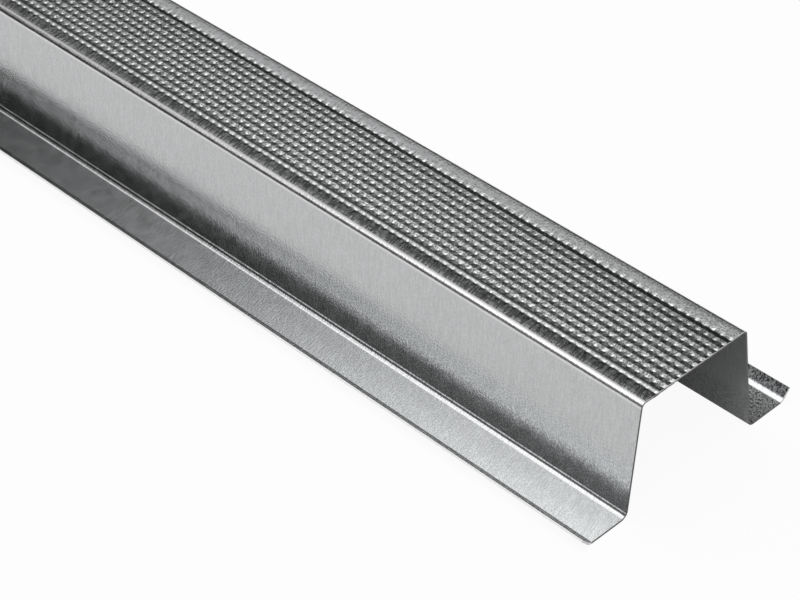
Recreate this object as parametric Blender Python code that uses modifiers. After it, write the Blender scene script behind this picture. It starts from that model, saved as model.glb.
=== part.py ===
# Hat channel: one length of galvanised steel strip, roll-formed to a hat section with two turned-up lips.
# Metres, +Z up. X runs along the channel, Y across it. The flanges lie on Z = 0 and the origin is midway.

import math

import bmesh
import bpy
from mathutils import Vector

NAME = "hat_channel"

# The strip and the length that it is cut to
LENGTH = 3.0
GAUGE = 0.0006

# The section, between the sharp corners where its outer faces would meet
HEIGHT = 0.035
CROWN_WIDTH = 0.039
WEB_LEAN = math.radians(7.0)
FLANGE_WIDTH = 0.013
LIP_LENGTH = 0.004
LIP_ANGLE = math.radians(48.0)

# Inside radius of each bend, as the rolls form it
CROWN_BEND_RADIUS = 0.0012
FOOT_BEND_RADIUS = 0.0018
LIP_BEND_RADIUS = 0.0022

# Each facet of a bend turns by no more than this
BEND_STEP = math.radians(9.0)

MERGE = 0.00001


def clear_scene():
    for old in list(bpy.data.objects):
        bpy.data.objects.remove(old, do_unlink=True)


def galvanised_steel():
    """Zinc-coated strip, a light grey metal."""
    material = bpy.data.materials.new("galvanised_steel")
    material.use_nodes = True
    shader = material.node_tree.nodes["Principled BSDF"]
    shader.inputs["Base Color"].default_value = (0.60, 0.61, 0.61, 1.0)
    shader.inputs["Metallic"].default_value = 1.0
    shader.inputs["Roughness"].default_value = 0.34
    return material


def corners():
    """The corners of the upper skin's right half as (point, skin radius), from the middle of the crown out."""
    web_run = (HEIGHT - GAUGE) * math.tan(WEB_LEAN)
    crown_edge = Vector((CROWN_WIDTH / 2, HEIGHT))
    foot = Vector((CROWN_WIDTH / 2 + web_run, GAUGE))
    flange_edge = foot + Vector((FLANGE_WIDTH, 0.0))
    lip_tip = flange_edge + LIP_LENGTH * Vector((math.cos(LIP_ANGLE), math.sin(LIP_ANGLE)))
    return [
        (Vector((0.0, HEIGHT)), 0.0),
        (crown_edge, CROWN_BEND_RADIUS + GAUGE),
        (foot, FOOT_BEND_RADIUS),
        (flange_edge, LIP_BEND_RADIUS),
        (lip_tip, 0.0),
    ]


def rounded(before, corner, after, radius):
    """Points of the arc that rounds one corner of an outline, from the first tangent point to the last."""
    way_in = (corner - before).normalized()
    way_out = (after - corner).normalized()
    turn = way_in.angle_signed(way_out)
    start = corner - way_in * radius * math.tan(abs(turn) / 2)
    side = Vector((way_in.y, -way_in.x)) if turn > 0 else Vector((-way_in.y, way_in.x))
    centre = start + side * radius
    steps = math.ceil(abs(turn) / BEND_STEP)
    points = []
    for step in range(steps + 1):
        angle = abs(turn) * step / steps
        points.append(centre - side * radius * math.cos(angle) + way_in * radius * math.sin(angle))
    return points


def half_outline():
    """The upper skin's right half, with its bends drawn as arcs."""
    path = corners()
    points = [path[0][0]]
    for (before, _), (corner, radius), (after, _) in zip(path, path[1:], path[2:]):
        points.extend(rounded(before, corner, after, radius))
    points.append(path[-1][0])
    return points


def channel_skin():
    """The right half of the upper skin, drawn out along the channel, with its faces looking up and out."""
    mesh = bpy.data.meshes.new(NAME)
    skin = bmesh.new()
    ring = [skin.verts.new((-LENGTH / 2, point.x, point.y)) for point in half_outline()]
    edges = [skin.edges.new(pair) for pair in zip(ring, ring[1:])]
    drawn = bmesh.ops.extrude_edge_only(skin, edges=edges)["geom"]
    moved = [item for item in drawn if isinstance(item, bmesh.types.BMVert)]
    bmesh.ops.translate(skin, verts=moved, vec=(LENGTH, 0.0, 0.0))
    skin.normal_update()
    skin.faces.ensure_lookup_table()
    if skin.faces[0].normal.z < 0:
        bmesh.ops.reverse_faces(skin, faces=skin.faces)
    skin.to_mesh(mesh)
    skin.free()
    mesh.shade_smooth()
    return mesh


def hat_channel(collection):
    """The whole channel: the half skin mirrored across the middle, with the strip's gauge below it."""
    channel = bpy.data.objects.new(NAME, channel_skin())
    collection.objects.link(channel)
    channel.data.materials.append(galvanised_steel())

    halves = channel.modifiers.new("other half", "MIRROR")
    halves.use_axis = (False, True, False)
    halves.merge_threshold = MERGE

    strip = channel.modifiers.new("strip gauge", "SOLIDIFY")
    strip.thickness = GAUGE
    strip.offset = -1.0
    strip.use_even_offset = True
    return channel


clear_scene()
pieces = bpy.data.collections.new(NAME)
bpy.context.scene.collection.children.link(pieces)
hat_channel(pieces)
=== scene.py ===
import math

import bmesh
import bpy
from mathutils import Matrix, Vector


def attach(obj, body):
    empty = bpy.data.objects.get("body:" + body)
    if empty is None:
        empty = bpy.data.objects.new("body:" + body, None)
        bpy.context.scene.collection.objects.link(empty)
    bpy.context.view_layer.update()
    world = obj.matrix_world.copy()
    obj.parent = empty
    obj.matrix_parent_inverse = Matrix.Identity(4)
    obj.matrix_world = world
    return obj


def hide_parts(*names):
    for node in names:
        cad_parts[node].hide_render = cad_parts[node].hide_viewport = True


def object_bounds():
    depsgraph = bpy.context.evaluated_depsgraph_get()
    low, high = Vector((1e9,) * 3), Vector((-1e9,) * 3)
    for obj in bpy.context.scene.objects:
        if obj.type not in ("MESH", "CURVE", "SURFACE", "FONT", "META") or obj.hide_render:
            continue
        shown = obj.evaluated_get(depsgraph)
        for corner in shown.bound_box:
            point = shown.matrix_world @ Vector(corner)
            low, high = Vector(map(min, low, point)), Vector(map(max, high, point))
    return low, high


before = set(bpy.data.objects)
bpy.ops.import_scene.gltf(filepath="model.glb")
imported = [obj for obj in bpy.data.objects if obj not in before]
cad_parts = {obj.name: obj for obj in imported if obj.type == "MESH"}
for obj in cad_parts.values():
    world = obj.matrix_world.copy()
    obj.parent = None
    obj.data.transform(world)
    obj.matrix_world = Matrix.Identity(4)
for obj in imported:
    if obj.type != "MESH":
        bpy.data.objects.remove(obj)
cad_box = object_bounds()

# The camera. It looks down on the channel's cut end from the near side, with the bar running away
# to the upper left and out of the picture, as in the photograph.
cad_low, cad_high = cad_box
bar_end = cad_high.x
crown_top = cad_high.z
aim = Vector((bar_end - 0.0700, -0.0323, crown_top))
azimuth = math.radians(47.233)
elevation = math.radians(39.044)
roll = math.radians(-1.960)
distance = 0.6345

camera = bpy.data.objects.new("camera", bpy.data.cameras.new("camera"))
bpy.context.scene.collection.objects.link(camera)
camera.data.sensor_width = 36.0
camera.data.lens = 113.15
turn = (
    Matrix.Rotation(azimuth, 4, "Z")
    @ Matrix.Rotation(math.pi / 2 - elevation, 4, "X")
    @ Matrix.Rotation(roll, 4, "Z")
)
camera.matrix_world = Matrix.Translation(aim + turn.col[2].to_3d() * distance) @ turn
bpy.context.scene.camera = camera
bpy.context.scene.view_settings.view_transform = "Standard"

# The studio: a plain pale floor under a soft box, in a room that is dark low down and bright overhead.
# Bright steel mirrors the room, and that gives it its dark and light bands.
floor_size = 60.0
floor_grey = (0.80, 0.80, 0.80, 1.0)
pure_white = (1.0, 1.0, 1.0, 1.0)
floor_whiteness = 0.94
plain_level = 0.45
box_size = (4.0, 1.4)
box_place = (0.3, 0.0, 2.2)
box_power = 40.0

floor_mesh = bpy.data.meshes.new("floor")
floor_plane = bmesh.new()
bmesh.ops.create_grid(floor_plane, x_segments=1, y_segments=1, size=floor_size / 2)
floor_plane.to_mesh(floor_mesh)
floor_plane.free()
floor = bpy.data.objects.new("floor", floor_mesh)
bpy.context.scene.collection.objects.link(floor)


def node(tree, kind, inputs=None, **settings):
    """A new node with its settings and its unlinked inputs set."""
    made = tree.nodes.new(kind)
    for setting, value in settings.items():
        setattr(made, setting, value)
    for name, value in (inputs or {}).items():
        made.inputs[name].default_value = value
    return made


def maths(tree, operation, *values):
    """A Math node's output, from sockets or plain numbers."""
    made = tree.nodes.new("ShaderNodeMath")
    made.operation = operation
    for slot, value in enumerate(values):
        if isinstance(value, bpy.types.NodeSocket):
            tree.links.new(value, made.inputs[slot])
        else:
            made.inputs[slot].default_value = value
    return made.outputs[0]


def plus(tree, first, *others):
    """The sum of two or more values."""
    for other in others:
        first = maths(tree, "ADD", first, other)
    return first


def minus(tree, first, *others):
    """A value less one or more others."""
    for other in others:
        first = maths(tree, "SUBTRACT", first, other)
    return first


def times(tree, first, *others):
    """The product of two or more values."""
    for other in others:
        first = maths(tree, "MULTIPLY", first, other)
    return first


def mixed(tree, share, first, second):
    """A Mix Shader node's output."""
    made = tree.nodes.new("ShaderNodeMixShader")
    tree.links.new(share, made.inputs["Fac"])
    tree.links.new(first, made.inputs[1])
    tree.links.new(second, made.inputs[2])
    return made.outputs[0]


paper = bpy.data.materials.new("pale_floor")
paper.use_nodes = True
tree = paper.node_tree
tree.nodes.clear()
matt = node(tree, "ShaderNodeBsdfDiffuse", {"Color": floor_grey})
glow = node(tree, "ShaderNodeEmission", {"Color": pure_white, "Strength": 1.0})
ray = node(tree, "ShaderNodeLightPath")
white_share = times(tree, ray.outputs["Is Camera Ray"], floor_whiteness)
out = node(tree, "ShaderNodeOutputMaterial")
tree.links.new(mixed(tree, white_share, matt.outputs[0], glow.outputs[0]), out.inputs["Surface"])
floor_mesh.materials.append(paper)

# The room's light depends on the direction of each ray: along the bar, across it and upwards
room = bpy.data.worlds.new("room")
bpy.context.scene.world = room
room.use_nodes = True
tree = room.node_tree
tree.nodes.clear()
ray = node(tree, "ShaderNodeLightPath")
way = node(tree, "ShaderNodeTexCoord").outputs["Generated"]
ways = node(tree, "ShaderNodeSeparateXYZ")
tree.links.new(way, ways.inputs[0])
lengthways, sideways, upward = ways.outputs
outward = maths(tree, "ABSOLUTE", lengthways)
brightest = 4.0


def levels(tree, value, steps):
    """Light in the room, as a share of the brightest, from a list of places and levels."""
    ramp = node(tree, "ShaderNodeValToRGB")
    while len(ramp.color_ramp.elements) < len(steps):
        ramp.color_ramp.elements.new(0.5)
    for step, (position, level) in zip(ramp.color_ramp.elements, steps):
        step.position = position
        step.color = [level / brightest] * 3 + [1.0]
    tree.links.new(value, ramp.inputs[0])
    return ramp.outputs["Color"]


def between(tree, value, low, high, first=0.0, last=1.0):
    """Goes smoothly from the first level to the last as a value goes from low to high."""
    made = node(tree, "ShaderNodeMapRange", interpolation_type="SMOOTHSTEP")
    tree.links.new(value, made.inputs["Value"])
    for name, level in (("From Min", low), ("From Max", high), ("To Min", first), ("To Max", last)):
        made.inputs[name].default_value = level
    return made.outputs[0]


def blend(tree, first, second, share):
    """Goes from one light to another by a share."""
    return plus(tree, first, times(tree, minus(tree, second, first), share))


# Behind the bar the room is dark low down and pale overhead. The dark dips away along the bar, and the
# light swells a little way along it and then fades.
dip_start, dip_rate = 0.48, 0.68
dip = times(tree, minus(tree, outward, dip_start), dip_rate)
behind = levels(tree, plus(tree, upward, dip), (
    (0.00, 0.08), (0.30, 0.06), (0.42, 0.02), (0.51, 0.035), (0.57, 0.08), (0.60, 0.13), (0.65, 0.24),
    (0.70, 0.48), (0.73, 0.72), (0.77, 1.15), (0.81, 1.45), (0.88, 1.75), (0.94, 1.60), (1.00, 1.30),
))
swell = levels(tree, outward, (
    (0.00, 0.82), (0.47, 0.84), (0.50, 0.96), (0.53, 1.20), (0.57, 1.30), (0.60, 1.15), (0.64, 0.85),
    (0.68, 0.66), (1.00, 0.60),
))
behind = times(tree, behind, swell, brightest)

# In front there is more light, from lower down. It fades along the bar and comes back in line with it,
# and the fade slants outwards over the bar.
slant_start, slant_rate = -0.30, 0.24
slanted = times(tree, maths(tree, "MAXIMUM", minus(tree, sideways, slant_start), 0.0), slant_rate)
in_front = levels(tree, upward, (
    (0.00, 0.05), (0.35, 0.15), (0.43, 0.17), (0.50, 0.19), (0.55, 0.23), (0.585, 0.62), (0.62, 1.25),
    (0.70, 1.40), (0.78, 1.45), (0.87, 1.70), (0.94, 1.50), (1.00, 1.10),
))
fade = levels(tree, minus(tree, outward, slanted), (
    (0.00, 4.00), (0.50, 4.00), (0.54, 3.60), (0.57, 2.80), (0.60, 1.75), (0.63, 0.85), (0.66, 0.38),
    (0.70, 0.24), (0.80, 0.20), (0.88, 0.50), (0.94, 1.60), (1.00, 2.00),
))
front_light = times(tree, in_front, fade)

# A narrow bright tube stands in front, which the lip and the web mirror as a streak along the web
tube_place, tube_width, tube_gain = -0.41, 0.026, 2.1
off_tube = maths(tree, "DIVIDE", minus(tree, sideways, tube_place), tube_width)
tube = maths(tree, "EXPONENT", times(tree, off_tube, off_tube, -1.0))
front_light = times(tree, front_light, plus(tree, times(tree, tube, tube_gain), 1.0))

# The two meet over the bar, and give way to a plainer wall beyond its cut end
overlap = 0.12
wall_start, wall_end = 0.05, 0.40
this_half = blend(tree, front_light, behind, between(tree, sideways, -overlap, overlap))
other_half = levels(tree, upward, (
    (0.00, 0.40), (0.25, 0.34), (0.45, 0.24), (0.60, 0.34), (0.70, 0.70), (0.80, 1.10), (0.88, 1.40),
    (1.00, 1.10),
))
room_light = blend(tree, this_half, other_half, between(tree, lengthways, wall_start, wall_end))

# A round lamp hangs over the bar's far side, a little way along it
lamp_aim = Vector((-0.14, 0.32, 0.93)).normalized()
lamp_sharpness, lamp_level = 30.0, 2.2
lamp_way = node(tree, "ShaderNodeVectorMath", operation="DOT_PRODUCT")
tree.links.new(way, lamp_way.inputs[0])
lamp_way.inputs[1].default_value = lamp_aim
lamp = maths(tree, "POWER", maths(tree, "MAXIMUM", lamp_way.outputs["Value"], 0.0), lamp_sharpness)
lamp = times(tree, lamp, lamp_level / brightest)

# All this shows only where steel mirrors it. Other rays meet a plain level, and the camera sees white.
mirrored = node(tree, "ShaderNodeBackground", {"Strength": brightest})
tree.links.new(plus(tree, room_light, lamp), mirrored.inputs["Color"])
plain = node(tree, "ShaderNodeBackground", {"Color": pure_white, "Strength": plain_level})
white = node(tree, "ShaderNodeBackground", {"Color": pure_white, "Strength": 1.0})
lit = mixed(tree, ray.outputs["Is Glossy Ray"], plain.outputs[0], mirrored.outputs[0])
out = node(tree, "ShaderNodeOutputWorld")
tree.links.new(mixed(tree, ray.outputs["Is Camera Ray"], lit, white.outputs[0]), out.inputs["Surface"])

# The soft box lights the floor, where the bar leaves a soft shadow, and the steel doesn't mirror it
overhead = bpy.data.lights.new("overhead_box", "AREA")
overhead.shape = "RECTANGLE"
overhead.size, overhead.size_y = box_size
overhead.energy = box_power
soft_box = bpy.data.objects.new("overhead_box", overhead)
bpy.context.scene.collection.objects.link(soft_box)
soft_box.location = box_place
soft_box.visible_camera = False
soft_box.visible_glossy = False

# The channel: one strip of galvanised steel, roll-formed. Its crown carries a knurled band, rows of
# small square pits pressed in from outside, which stop a screw's point from wandering.
gauge = 0.0006
crown_width = 0.039
web_lean = math.radians(7.0)
web_run = (crown_top - gauge) * math.tan(web_lean)
flange_width = 0.013
lip_length = 0.004
lip_angle = math.radians(48.0)
crown_bend = 0.0012
foot_bend = 0.0018
lip_bend = 0.0022
bend_step = math.radians(5.0)
near_zero = 0.00001
weld = 0.00002

# Each row of pits is a shallow trough between two sharp ridges, with a pointed tip pressed in the middle
# of each square. The band is a little off the crown's middle, and its outermost rows sink a little.
knurl_rows = 11
knurl_pitch = 0.002764
half_pitch = knurl_pitch / 2
trough_depth = 0.000027
tip_depth = 0.00017
tip_width = 0.00040
tip_rounding = 0.00008
band_middle = -0.00023
band_edge = knurl_pitch * knurl_rows / 2
last_valley = knurl_pitch * (knurl_rows - 1) / 2
band_drop = 0.00015
drop_sharpness = 12.0

# The plain margins slope up to the crown's corners. The slope starts in the band's outermost rows, and
# a line along the middle of each margin lies a little below the corners.
margin_slope = 0.035
margin_middle, margin_drop = 0.0166, 0.000058

# The pits near the cut end that the camera sees are finely pressed, and the rest more plainly
last_pit = bar_end - 0.00047
fine_columns = 120
fine_steps = 6
crowding = 1.6
fine_start = last_pit + half_pitch - fine_columns * knurl_pitch
coarse_columns = math.ceil((fine_start - cad_low.x) / knurl_pitch)
coarse_start = fine_start - coarse_columns * knurl_pitch


def pit_depth(tree, along, across):
    """How deep a pit is at a distance from its middle, along the bar and across it."""
    share = maths(tree, "DIVIDE", across, half_pitch)
    trough = minus(tree, 1.0, times(tree, share, share))
    spread = plus(tree, times(tree, along, along), times(tree, across, across), tip_rounding ** 2)
    to_tip = minus(tree, maths(tree, "SQRT", spread), tip_rounding)
    tip = maths(tree, "EXPONENT", maths(tree, "DIVIDE", to_tip, -tip_width))
    return plus(tree, times(tree, trough, trough_depth), times(tree, tip, tip_depth))


steel = bpy.data.materials.new("galvanised_steel")
steel.use_nodes = True
tree = steel.node_tree
shader = tree.nodes["Principled BSDF"]
place = tree.nodes.new("ShaderNodeTexCoord").outputs["Object"]
spot = tree.nodes.new("ShaderNodeSeparateXYZ")
tree.links.new(place, spot.inputs[0])
along_bar, across_bar, height = spot.outputs
from_middle = maths(tree, "ABSOLUTE", across_bar)
across_band = minus(tree, across_bar, band_middle)
from_band = maths(tree, "ABSOLUTE", across_band)


def grain(lengths, turned=0.0, **settings):
    """Noise whose grains are about so many metres long on each axis, turned by an angle about Z."""
    fitted = node(tree, "ShaderNodeMapping", vector_type="TEXTURE")
    fitted.inputs["Scale"].default_value = lengths
    fitted.inputs["Rotation"].default_value = (0.0, 0.0, turned)
    tree.links.new(place, fitted.inputs["Vector"])
    noise = node(tree, "ShaderNodeTexNoise", {"Scale": 1.0, **settings})
    tree.links.new(fitted.outputs[0], noise.inputs["Vector"])
    return noise.outputs["Fac"]


def past(value, level, blur):
    """1 where a value is above a level and 0 below it, with a soft edge."""
    return between(tree, value, level - blur / 2, level + blur / 2)


def short_of(value, level, blur):
    """1 where a value is below a level and 0 above it, with a soft edge."""
    return between(tree, value, level + blur / 2, level - blur / 2)


def weighed(start, *shares):
    """A level that changes by an amount wherever a mask is 1."""
    for mask, amount in shares:
        start = plus(tree, start, times(tree, mask, amount))
    return start


# Parts of the section that differ in finish and in painted light and shade, by their height and by how far
# out they lie
skin_split = crown_top - 0.0005
underside_low = crown_top - 0.0015
margin_start, margin_end = last_valley + 0.0004, 0.01805
low_height = 0.0115
foot_start = 0.0240
fold_start, fold_end = 0.0357, 0.03735

above = maths(tree, "GREATER_THAN", height, skin_split)
below = minus(tree, maths(tree, "GREATER_THAN", height, underside_low), above)
on_band = maths(tree, "LESS_THAN", from_band, band_edge)
margins = times(tree, past(from_band, margin_start, 0.0004), above)
margins = times(tree, margins, short_of(from_band, margin_end, 0.0005))
near_side = maths(tree, "LESS_THAN", across_bar, 0.0)
low_part = short_of(height, low_height, 0.0040)
foot = times(tree, low_part, past(from_middle, foot_start, 0.0004))
low_web = minus(tree, low_part, foot)
near_foot = times(tree, foot, near_side)
far_foot = times(tree, foot, minus(tree, 1.0, near_side))
far_flange = times(tree, far_foot, short_of(from_middle, fold_start, 0.0006))
far_lip = times(tree, far_foot, past(from_middle, fold_end, 0.0005))
far_fold = minus(tree, far_foot, far_flange, far_lip)

# The zinc has a fine spangle, brushing across the strip that shows most on the crown's plain margins,
# and long shallow waves. Their heights are in millimetres.
grain_turn = math.radians(15.0)
wave_height = 0.07
spangle = grain((0.00050, 0.00075, 0.00060), grain_turn, Detail=2.0, Roughness=0.5, Distortion=0.3)
brushing = grain((0.00042, 0.0045, 0.0045), grain_turn, Detail=2.0, Roughness=0.5)
waves = grain((0.090, 0.030, 0.030), Detail=1.0, Roughness=0.4)
spangle_height = weighed(0.036, (foot, -0.010))
brushing_height = weighed(0.012, (margins, 0.090))
relief = times(tree, spangle, spangle_height)
relief = plus(tree, relief, times(tree, minus(tree, brushing, 0.5), brushing_height))
relief = plus(tree, relief, times(tree, waves, wave_height))

# The plain pits get their finer shape as relief, and so do the bumps that all the pits make on the
# crown's underside. The mask is -1 over those pits, 1 over the bumps and 0 everywhere else.
pit_along = maths(tree, "PINGPONG", minus(tree, along_bar, last_pit), half_pitch)
pit_across = maths(tree, "PINGPONG", across_band, half_pitch)
pit_shape = times(tree, pit_depth(tree, pit_along, pit_across), 1000.0)
plain_pits = times(tree, above, maths(tree, "LESS_THAN", along_bar, fine_start))
pit_mask = times(tree, minus(tree, below, plain_pits), on_band)
relief = plus(tree, relief, times(tree, pit_shape, pit_mask))
bump = node(tree, "ShaderNodeBump", {"Strength": 1.0, "Distance": 0.001})
tree.links.new(relief, bump.inputs["Height"])
tree.links.new(bump.outputs[0], shader.inputs["Normal"])

# The spangle and the brushing darken the zinc in specks and strokes. The specks are heaviest on the far
# flange and lip, as painted shade, and between the pits, whose tips are left clear as a painted highlight.
# The band's nearest row is darkened with painted shade.
knurl_end = last_valley + 0.0006
near_row_start, near_ridge_start = -0.0120, -0.012925
bright_depth = 0.080
knurled = times(tree, short_of(from_band, knurl_end, 0.0008), above)
# The band's nearest row, and most of all the ridge on its inner side, are darkened with painted shade
near_row = times(tree, knurled, short_of(across_band, near_row_start, 0.0004))
near_ridge = times(tree, near_row, past(across_band, near_ridge_start, 0.00045))
# The band's specks spare the pits' tips, which keeps them bright as a painted highlight
band_specks = times(tree, weighed(knurled, (near_row, -0.35)), short_of(pit_shape, bright_depth, 0.060))
# Heavier specks on the far flange and lip are painted shade
speck_and_shade_depth = weighed(
    0.10, (far_flange, 0.78), (far_lip, 0.75), (low_web, 0.20), (margins, 0.26), (band_specks, 0.49))
specks_and_shade = times(tree, short_of(spangle, 0.50, 0.20), speck_and_shade_depth)
# Heavier strokes on the near margin are painted shade
margin_strokes_and_shade = weighed(0.20, (near_side, 0.42))
strokes_and_shade = times(tree, short_of(brushing, 0.50, 0.16), weighed(0.08, (margins, margin_strokes_and_shade)))
# Painted light and shade: the far flange lighter, and the far lip, the near flange and lip and the band's
# nearest row darker
painted_light_and_shade = weighed(
    1.0, (far_flange, 0.75), (far_lip, -0.40), (near_ridge, -0.60), (near_row, -0.24), (near_foot, -0.13))
zinc_and_painted_light = times(tree, minus(tree, 1.0, specks_and_shade), minus(tree, 1.0, strokes_and_shade))
# Both margins are painted lighter, as painted light, and the painted light and shade above are laid on
zinc_and_painted_light = times(tree, zinc_and_painted_light, weighed(1.0, (margins, 0.52)), painted_light_and_shade)

# The outside of the crown's two bends is painted: a dull grey painted shade, and rough, where the bend
# starts, and a bright painted highlight on the bend itself
bend_start, crest_start = 0.01795, 0.0186
bend_low = crown_top - 0.0017
bend_shade = times(tree, past(from_middle, bend_start, 0.0005), past(height, bend_low, 0.0010))
bend_highlight = times(tree, bend_shade, past(from_middle, crest_start, 0.0008))

# The lips' edges are where the strip was slit, painted pale and matt as a painted highlight. The ends are
# sheared, painted dark as painted shade, with a pale painted highlight on the lips' ends and a bright one
# in a line along the crown.
lip_end_start = 0.0361
cut_highlight_depth = 0.00028
lip_reach = (crown_width / 2 + web_run + flange_width) * math.cos(lip_angle)
lip_reach = lip_reach + gauge * math.sin(lip_angle) + lip_length
reach = plus(tree, times(tree, from_middle, math.cos(lip_angle)), times(tree, height, math.sin(lip_angle)))
low_half = maths(tree, "LESS_THAN", height, crown_top / 2)
slit = times(tree, maths(tree, "GREATER_THAN", reach, lip_reach - near_zero), low_half)
sheared = maths(tree, "GREATER_THAN", maths(tree, "ABSOLUTE", along_bar), bar_end - near_zero)
lip_end = times(tree, sheared, past(from_middle, lip_end_start, 0.0006))
crown_cut_highlight = times(tree, sheared, maths(tree, "GREATER_THAN", height, crown_top - cut_highlight_depth))


def painted(under, share, colour):
    """A colour laid over another one by a share."""
    made = node(tree, "ShaderNodeMix", data_type="RGBA")
    factor, lower, upper = made.inputs[0], made.inputs[6], made.inputs[7]
    upper.default_value = (*colour, 1.0)
    tree.links.new(share, factor)
    if isinstance(under, bpy.types.NodeSocket):
        tree.links.new(under, lower)
    else:
        lower.default_value = (*under, 1.0)
    return made.outputs[2]


black = (0.0, 0.0, 0.0)
zinc_grey = (0.71, 0.72, 0.725)
smoothest, roughest = 0.13, 0.18
metal = painted(black, zinc_and_painted_light, zinc_grey)
# Painted shade and painted highlights go over the zinc: on the bends, the slit edges and the sheared ends
for mask, grey in (
        (bend_shade, 0.38), (bend_highlight, 0.92), (slit, 0.97), (sheared, 0.20), (lip_end, 0.90), (crown_cut_highlight, 0.85)):
    metal = painted(metal, mask, (grey, grey, grey))
gloss = between(tree, grain((0.004, 0.004, 0.004), Detail=3.0), 0.3, 0.7, smoothest, roughest)
gloss = weighed(gloss, (bend_shade, 0.20), (bend_highlight, -0.14), (sheared, 0.40), (far_fold, 0.12))
tree.links.new(metal, shader.inputs["Base Color"])
tree.links.new(minus(tree, 1.0, slit), shader.inputs["Metallic"])
tree.links.new(gloss, shader.inputs["Roughness"])


def tree_input(tree, name, kind, value):
    """A named input of a Geometry Nodes tree."""
    socket = tree.interface.new_socket(name, in_out="INPUT", socket_type=kind)
    socket.default_value = value


def knurl_tree(name, fine):
    """Geometry Nodes that press one pit, repeat it in columns and rows, and sink the band's edges."""
    tree = bpy.data.node_groups.new(name, "GeometryNodeTree")
    tree.interface.new_socket("Geometry", in_out="OUTPUT", socket_type="NodeSocketGeometry")
    tree_input(tree, "Pitch", "NodeSocketFloat", 0.003)
    tree_input(tree, "Columns", "NodeSocketInt", 4)
    tree_input(tree, "Rows", "NodeSocketInt", 4)
    tree_input(tree, "Steps", "NodeSocketInt", 4)
    tree_input(tree, "Crowding", "NodeSocketFloat", 1.0)
    tree_input(tree, "Edge Drop", "NodeSocketFloat", 0.0)
    tree_input(tree, "Edge Slope", "NodeSocketFloat", 0.0)
    tree_input(tree, "Middle", "NodeSocketVector", (0.0, 0.0, 0.0))
    ask = tree.nodes.new("NodeGroupInput").outputs
    link = tree.links.new

    # A fine pit is a grid, and a plain one is a square of four triangles that meet in its middle
    if fine:
        cell = tree.nodes.new("GeometryNodeMeshGrid")
        link(ask["Pitch"], cell.inputs["Size X"])
        link(ask["Pitch"], cell.inputs["Size Y"])
        corners = plus(tree, ask["Steps"], 1.0)
        link(corners, cell.inputs["Vertices X"])
        link(corners, cell.inputs["Vertices Y"])
        flat_cell = cell.outputs["Mesh"]
    else:
        cell = tree.nodes.new("GeometryNodeMeshCircle")
        cell.fill_type = "TRIANGLE_FAN"
        cell.inputs["Vertices"].default_value = 4
        link(times(tree, ask["Pitch"], math.sqrt(0.5)), cell.inputs["Radius"])
        square = tree.nodes.new("GeometryNodeTransform")
        square.inputs["Rotation"].default_value = (0.0, 0.0, math.radians(45.0))
        link(cell.outputs["Mesh"], square.inputs["Geometry"])
        flat_cell = square.outputs["Geometry"]

    # The mesh lines crowd towards the pit's middle, where its shape turns fastest
    where = tree.nodes.new("ShaderNodeSeparateXYZ")
    link(tree.nodes.new("GeometryNodeInputPosition").outputs[0], where.inputs[0])
    half = times(tree, ask["Pitch"], 0.5)
    pressed_to = tree.nodes.new("ShaderNodeCombineXYZ")
    reaches = []
    for axis in ("X", "Y"):
        share = maths(tree, "DIVIDE", maths(tree, "ABSOLUTE", where.outputs[axis]), half)
        reach = times(tree, maths(tree, "POWER", share, ask["Crowding"]), half)
        link(times(tree, reach, maths(tree, "SIGN", where.outputs[axis])), pressed_to.inputs[axis])
        reaches.append(reach)
    link(times(tree, pit_depth(tree, *reaches), -1.0), pressed_to.inputs["Z"])
    pressed = tree.nodes.new("GeometryNodeSetPosition")
    link(flat_cell, pressed.inputs["Geometry"])
    link(pressed_to.outputs[0], pressed.inputs["Position"])

    grid = tree.nodes.new("GeometryNodeMeshGrid")
    for axis, count in (("X", "Columns"), ("Y", "Rows")):
        link(ask[count], grid.inputs["Vertices " + axis])
        link(times(tree, minus(tree, ask[count], 1.0), ask["Pitch"]), grid.inputs["Size " + axis])
    copies = tree.nodes.new("GeometryNodeInstanceOnPoints")
    link(grid.outputs["Mesh"], copies.inputs["Points"])
    link(pressed.outputs["Geometry"], copies.inputs["Instance"])
    real = tree.nodes.new("GeometryNodeRealizeInstances")
    link(copies.outputs["Instances"], real.inputs["Geometry"])
    joined = tree.nodes.new("GeometryNodeMergeByDistance")
    joined.inputs["Distance"].default_value = weld
    link(real.outputs["Geometry"], joined.inputs["Geometry"])

    # The rows sink towards the outermost ones, whose outer sides rise as part of the plain margins
    off_middle = maths(tree, "ABSOLUTE", where.outputs["Y"])
    valley = times(tree, minus(tree, ask["Rows"], 1.0), half)
    inside = maths(tree, "MINIMUM", maths(tree, "DIVIDE", off_middle, valley), 1.0)
    drop = times(tree, maths(tree, "POWER", inside, drop_sharpness), ask["Edge Drop"])
    beyond = maths(tree, "MAXIMUM", minus(tree, off_middle, valley), 0.0)
    rise = times(tree, beyond, ask["Edge Slope"])
    share = maths(tree, "DIVIDE", beyond, half)
    levelled = times(tree, share, share, trough_depth)
    down = tree.nodes.new("ShaderNodeCombineXYZ")
    link(minus(tree, rise, levelled, drop), down.inputs["Z"])
    dished = tree.nodes.new("GeometryNodeSetPosition")
    link(joined.outputs["Geometry"], dished.inputs["Geometry"])
    link(down.outputs[0], dished.inputs["Offset"])
    placed = tree.nodes.new("GeometryNodeTransform")
    link(dished.outputs["Geometry"], placed.inputs["Geometry"])
    link(ask["Middle"], placed.inputs["Translation"])
    coat = tree.nodes.new("GeometryNodeSetMaterial")
    coat.inputs["Material"].default_value = steel
    link(placed.outputs["Geometry"], coat.inputs["Geometry"])
    result = tree.nodes.new("NodeGroupOutput")
    link(coat.outputs["Geometry"], result.inputs["Geometry"])
    return tree


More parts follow.
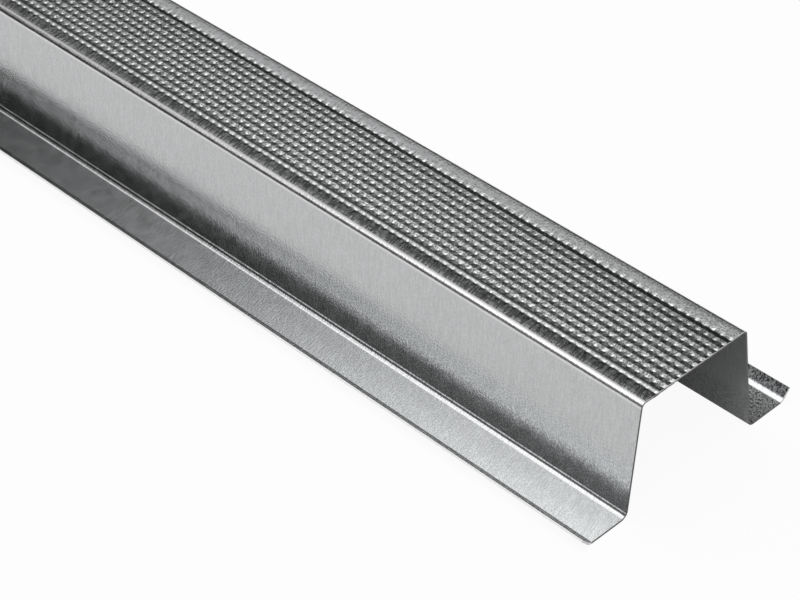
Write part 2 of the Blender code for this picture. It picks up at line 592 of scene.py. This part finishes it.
def knurled_sheet(name, tree, start, columns, level):
    """A sheet of pits as a plain mesh, from one place along the bar on."""
    sizes = {
        "Pitch": knurl_pitch, "Columns": columns, "Rows": knurl_rows, "Steps": fine_steps,
        "Crowding": crowding, "Edge Drop": band_drop, "Edge Slope": margin_slope,
        "Middle": (start + columns * half_pitch, band_middle, level),
    }
    carrier = bpy.data.objects.new(name, bpy.data.meshes.new(name))
    bpy.context.scene.collection.objects.link(carrier)
    maker = carrier.modifiers.new("knurl", "NODES")
    maker.node_group = tree
    for socket in tree.interface.items_tree:
        if socket.in_out == "INPUT":
            maker[socket.identifier] = sizes[socket.name]
    seen = carrier.evaluated_get(bpy.context.evaluated_depsgraph_get())
    mesh = bpy.data.meshes.new_from_object(seen)
    bpy.data.objects.remove(carrier)
    return mesh


fine_knurl = knurl_tree("fine pits", True)
plain_knurl = knurl_tree("plain pits", False)
sheets = (
    knurled_sheet("fine", fine_knurl, fine_start, fine_columns, crown_top),
    knurled_sheet("coarse", plain_knurl, coarse_start, coarse_columns, crown_top),
    knurled_sheet("under", plain_knurl, coarse_start, coarse_columns + fine_columns, crown_top - gauge),
)
strip = bmesh.new()
for mesh in sheets:
    strip.from_mesh(mesh)
bmesh.ops.remove_doubles(strip, verts=strip.verts, dist=weld)


def on_seam(vertex):
    """Whether a vertex of the upper skin lies where the finely pressed pits meet the plain ones."""
    return abs(vertex.co.x - fine_start) < near_zero and vertex.co.z > skin_split


# Along that seam the plain pits take in the fine ones' extra corners
seam = sorted(filter(on_seam, strip.verts), key=lambda vertex: vertex.co.y)
for face in [f for f in strip.faces if len(f.verts) == 3 and f.calc_center_median().x < fine_start]:
    touching = [vertex for vertex in face.verts if on_seam(vertex)]
    if len(touching) == 2:
        low_y, high_y = sorted(vertex.co.y for vertex in touching)
        point = next(vertex for vertex in face.verts if vertex not in touching)
        strip.faces.remove(face)
        strip.faces.new([point] + [v for v in seam if low_y - near_zero < v.co.y < high_y + near_zero])
loose = [edge for edge in strip.edges if not edge.link_faces]
bmesh.ops.delete(strip, geom=loose, context="EDGES")
for face in strip.faces:
    face.smooth = True

# The rows of fine pits meet in sharp ridges
row_slack = 0.01
for edge in strip.edges:
    rows = [(vertex.co.y - band_middle) / knurl_pitch - 0.5 for vertex in edge.verts]
    on_ridge = all(abs(row - round(row)) < row_slack for row in rows) and round(rows[0]) == round(rows[1])
    start = edge.verts[0].co
    edge.smooth = not (on_ridge and start.x > fine_start and start.z > skin_split)

# The strip is sheared square at both ends, through a column of pits
for end, way_out in ((cad_low.x, -1.0), (cad_high.x, 1.0)):
    everything = strip.verts[:] + strip.edges[:] + strip.faces[:]
    bmesh.ops.bisect_plane(strip, geom=everything, dist=near_zero / 10, plane_co=(end, 0.0, 0.0),
                           plane_no=(way_out, 0.0, 0.0), clear_outer=True)


def bend_pairs(before, corner, after, inside_radius):
    """Points of the upper and lower skins round one bend, from its first tangent point to its last."""
    way_in = (corner - before).normalized()
    way_out = (after - corner).normalized()
    turned = way_in.angle_signed(way_out)
    right = Vector((way_in.y, -way_in.x))
    if turned > 0:
        upper, lower, inward = inside_radius + gauge, inside_radius, right
    else:
        upper, lower, inward = inside_radius, inside_radius + gauge, -right
    centre = corner - way_in * upper * math.tan(abs(turned) / 2) + inward * upper
    steps = math.ceil(abs(turned) / bend_step)
    pairs = []
    for step in range(steps + 1):
        angle = abs(turned) * step / steps
        out = way_in * math.sin(angle) - inward * math.cos(angle)
        pairs.append((centre + out * upper, centre + out * lower))
    return pairs


def wing():
    """Pairs of points on the two skins, from the crown's plain margin out to the lip."""
    middle = Vector((0.0, crown_top))
    margin = Vector((margin_middle, crown_top - margin_drop))
    corner = Vector((crown_width / 2, crown_top))
    foot = Vector((crown_width / 2 + web_run, gauge))
    fold = foot + Vector((flange_width, 0.0))
    lip_way = Vector((math.cos(lip_angle), math.sin(lip_angle)))
    tip = fold + lip_length * lip_way
    pairs = [(margin, margin - Vector((0.0, gauge)))]
    pairs += bend_pairs(middle, corner, foot, crown_bend)
    pairs += bend_pairs(corner, foot, fold, foot_bend)
    pairs += bend_pairs(foot, fold, tip, lip_bend)
    pairs.append((tip, tip + gauge * Vector((lip_way.y, -lip_way.x))))
    return pairs


def border(on_top, axis, value):
    """Vertices of one skin of the band that have a given place on an axis."""
    return [
        vertex for vertex in strip.verts
        if abs(getattr(vertex.co, axis) - value) < near_zero and (vertex.co.z > skin_split) == on_top
    ]


# The margins, webs, flanges and lips run straight from end to end, on both sides of the band. The two
# skins are closed along the slit edges and at the sheared ends.
ends = [[border(True, "x", x), border(False, "x", x)] for x in (cad_low.x, cad_high.x)]
pairs = wing()
for hand in (-1.0, 1.0):
    skins = []
    for skin in (0, 1):
        edge_line = border(skin == 0, "y", band_middle + hand * band_edge)
        edge_line.sort(key=lambda vertex: -vertex.co.x)
        rails = []
        for pair in pairs:
            y, z = pair[skin]
            rails.append([strip.verts.new((x, hand * y, z)) for x in (cad_low.x, cad_high.x)])
        strip.faces.new(rails[0] + edge_line)
        for first, second in zip(edge_line, edge_line[1:]):
            strip.edges.get((first, second)).smooth = False
        for first, second in zip(rails, rails[1:]):
            strip.faces.new([first[0], first[1], second[1], second[0]]).smooth = True
        for end in (0, 1):
            ends[end][skin].append(rails[0][end])
        skins.append(rails)
    upper, lower = skins
    strip.faces.new([upper[-1][0], upper[-1][1], lower[-1][1], lower[-1][0]])
    for end in (0, 1):
        for at in range(len(pairs) - 1):
            strip.faces.new([upper[at][end], upper[at + 1][end], lower[at + 1][end], lower[at][end]])
for above_line, below_line in ends:
    above_line.sort(key=lambda vertex: vertex.co.y)
    below_line.sort(key=lambda vertex: -vertex.co.y)
    strip.faces.new(above_line + below_line)
bmesh.ops.recalc_face_normals(strip, faces=strip.faces)

channel_mesh = bpy.data.meshes.new("knurled_channel")
strip.to_mesh(channel_mesh)
strip.free()
channel_mesh.materials.clear()
channel_mesh.materials.append(steel)
channel = bpy.data.objects.new("knurled_channel", channel_mesh)
bpy.context.scene.collection.objects.link(channel)

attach(channel, "root")
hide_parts("hat_channel")
